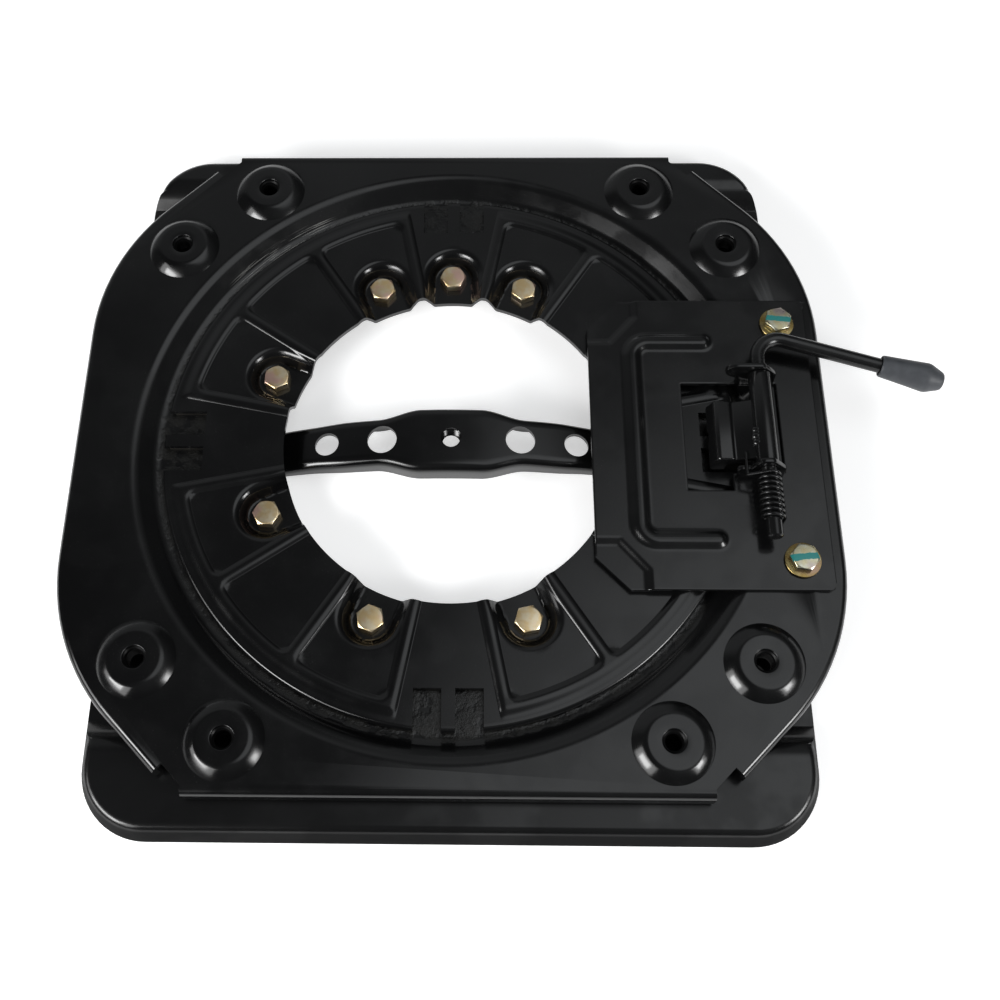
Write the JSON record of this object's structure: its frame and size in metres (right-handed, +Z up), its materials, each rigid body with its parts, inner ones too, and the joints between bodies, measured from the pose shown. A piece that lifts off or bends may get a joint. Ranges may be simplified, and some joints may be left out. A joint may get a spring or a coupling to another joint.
{
  "type": "swivel seat base",
  "caption": "Low pressed-steel seat swivel: a base pan and a turning plate with raised seat bosses, held by a ribbed clamp ring, with a hand lever that turns a latch pawl.",
  "frame": {"origin": "on the swivel axis, in the plane of the underside of the base plate", "axes": "+Z up along the swivel axis, +X to the lever side, -Y to the front with the wider base strip"},
  "size_m": [0.4647, 0.4, 0.0492],
  "materials": {
    "black_coat": "semi-gloss black dip coat",
    "black_nut": "black dip coat on weld nuts",
    "spring_steel": "black spring wire",
    "yellow_zinc": "yellow passivated zinc",
    "clear_zinc": "clear passivated zinc",
    "slide_plastic": "greased slide plastic",
    "grip_plastic": "matt grey-blue plastic"
  },
  "bodies": {
    "base": {"base_plate": "black_coat", "lower_slide_ring": "slide_plastic", "clamp_ring": "black_coat", "upper_slide_ring": "slide_plastic", "ring_bolts": "yellow_zinc", "ring_nuts": "clear_zinc", "cross_strap": "black_coat"},
    "swivel": {"swivel_plate": "black_coat", "seat_nuts": "black_nut", "latch_plate": "black_coat", "latch_bolts": "yellow_zinc", "latch_washers": "yellow_zinc", "latch_nuts": "clear_zinc", "return_spring": "spring_steel"},
    "lever": {"lever_rod": "black_coat", "pawl_sleeve": "black_coat", "pawl": "black_coat", "lever_grip": "grip_plastic"}
  },
  "joints": [
    {"name": "swivel_turn", "type": "hinge", "parent": "base", "child": "swivel", "pos_m": [0, 0, 0.017], "axis": [0, 0, 1], "continuous": true},
    {"name": "latch_lever", "type": "hinge", "parent": "swivel", "child": "lever", "pos_m": [0.1635, 0, 0.0407], "axis": [0, 1, 0], "range_deg": [-16, 6], "stiffness_Nm_per_rad": 0.6, "deforming": ["return_spring"]}
  ]
}
